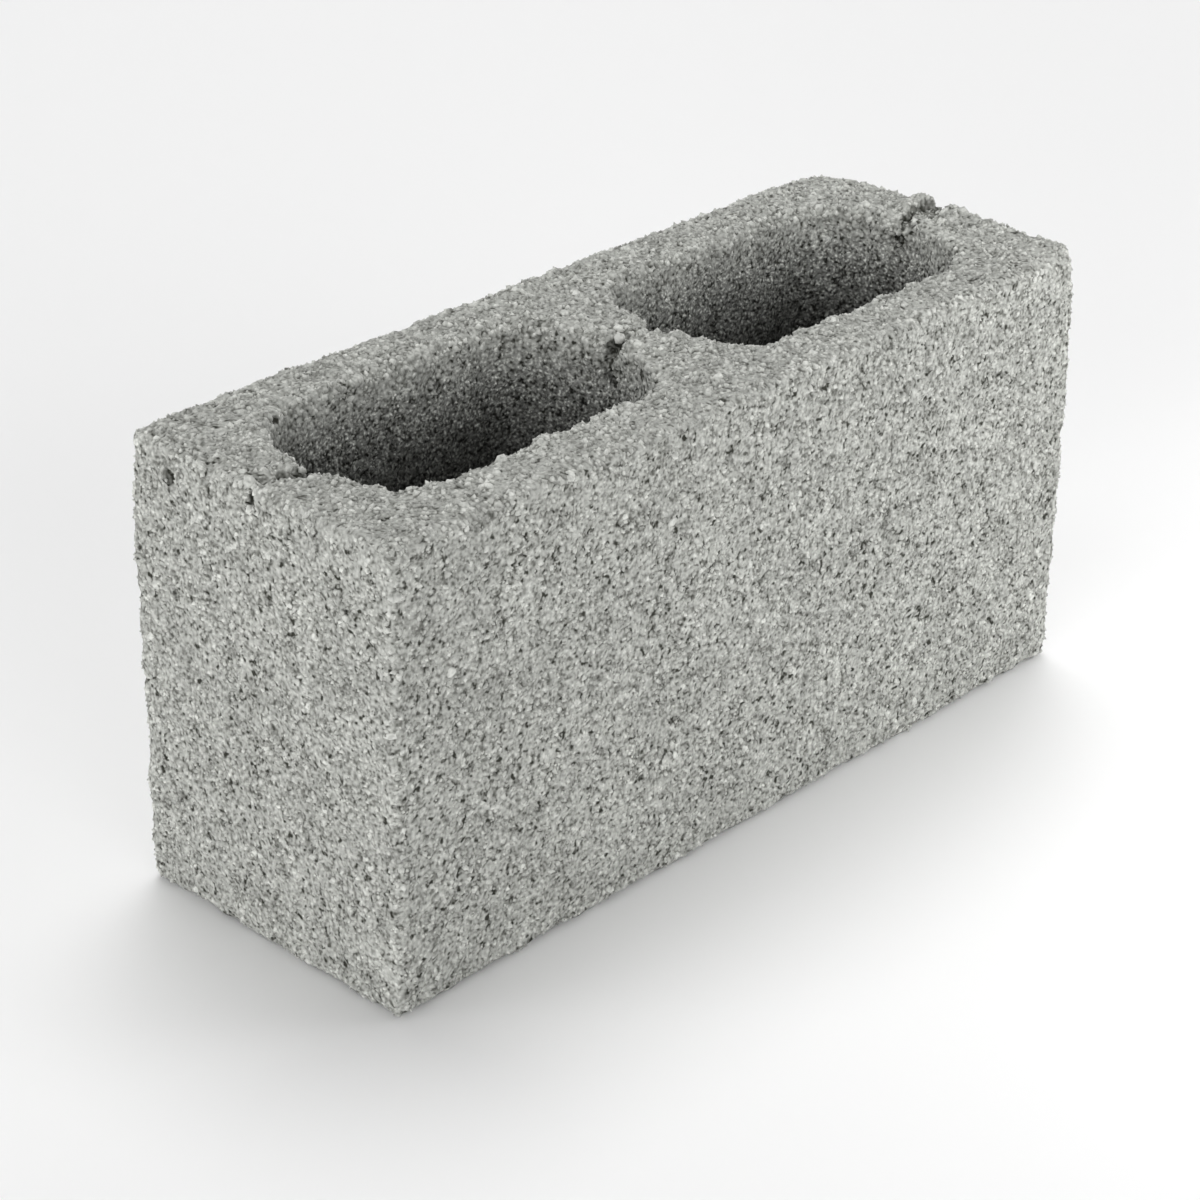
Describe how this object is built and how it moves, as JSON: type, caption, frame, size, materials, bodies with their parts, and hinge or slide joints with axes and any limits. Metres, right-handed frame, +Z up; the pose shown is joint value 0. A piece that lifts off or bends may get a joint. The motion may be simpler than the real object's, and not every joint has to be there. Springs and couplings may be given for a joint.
{
  "type": "concrete block",
  "caption": "Hollow concrete masonry block with upright tapered cores, thick face shells and a coarse, sandy, dry-cast surface.",
  "frame": {"origin": "middle of the lower bed face, where the block stands", "axes": "+X along the block, +Y across it towards a long face, +Z up towards the wider mouths of the cores"},
  "size_m": [0.39, 0.14, 0.19],
  "materials": {
    "concrete": "coarse, dry-cast, matt"
  },
  "bodies": {
    "root": {"block": "concrete"}
  },
  "joints": []
}
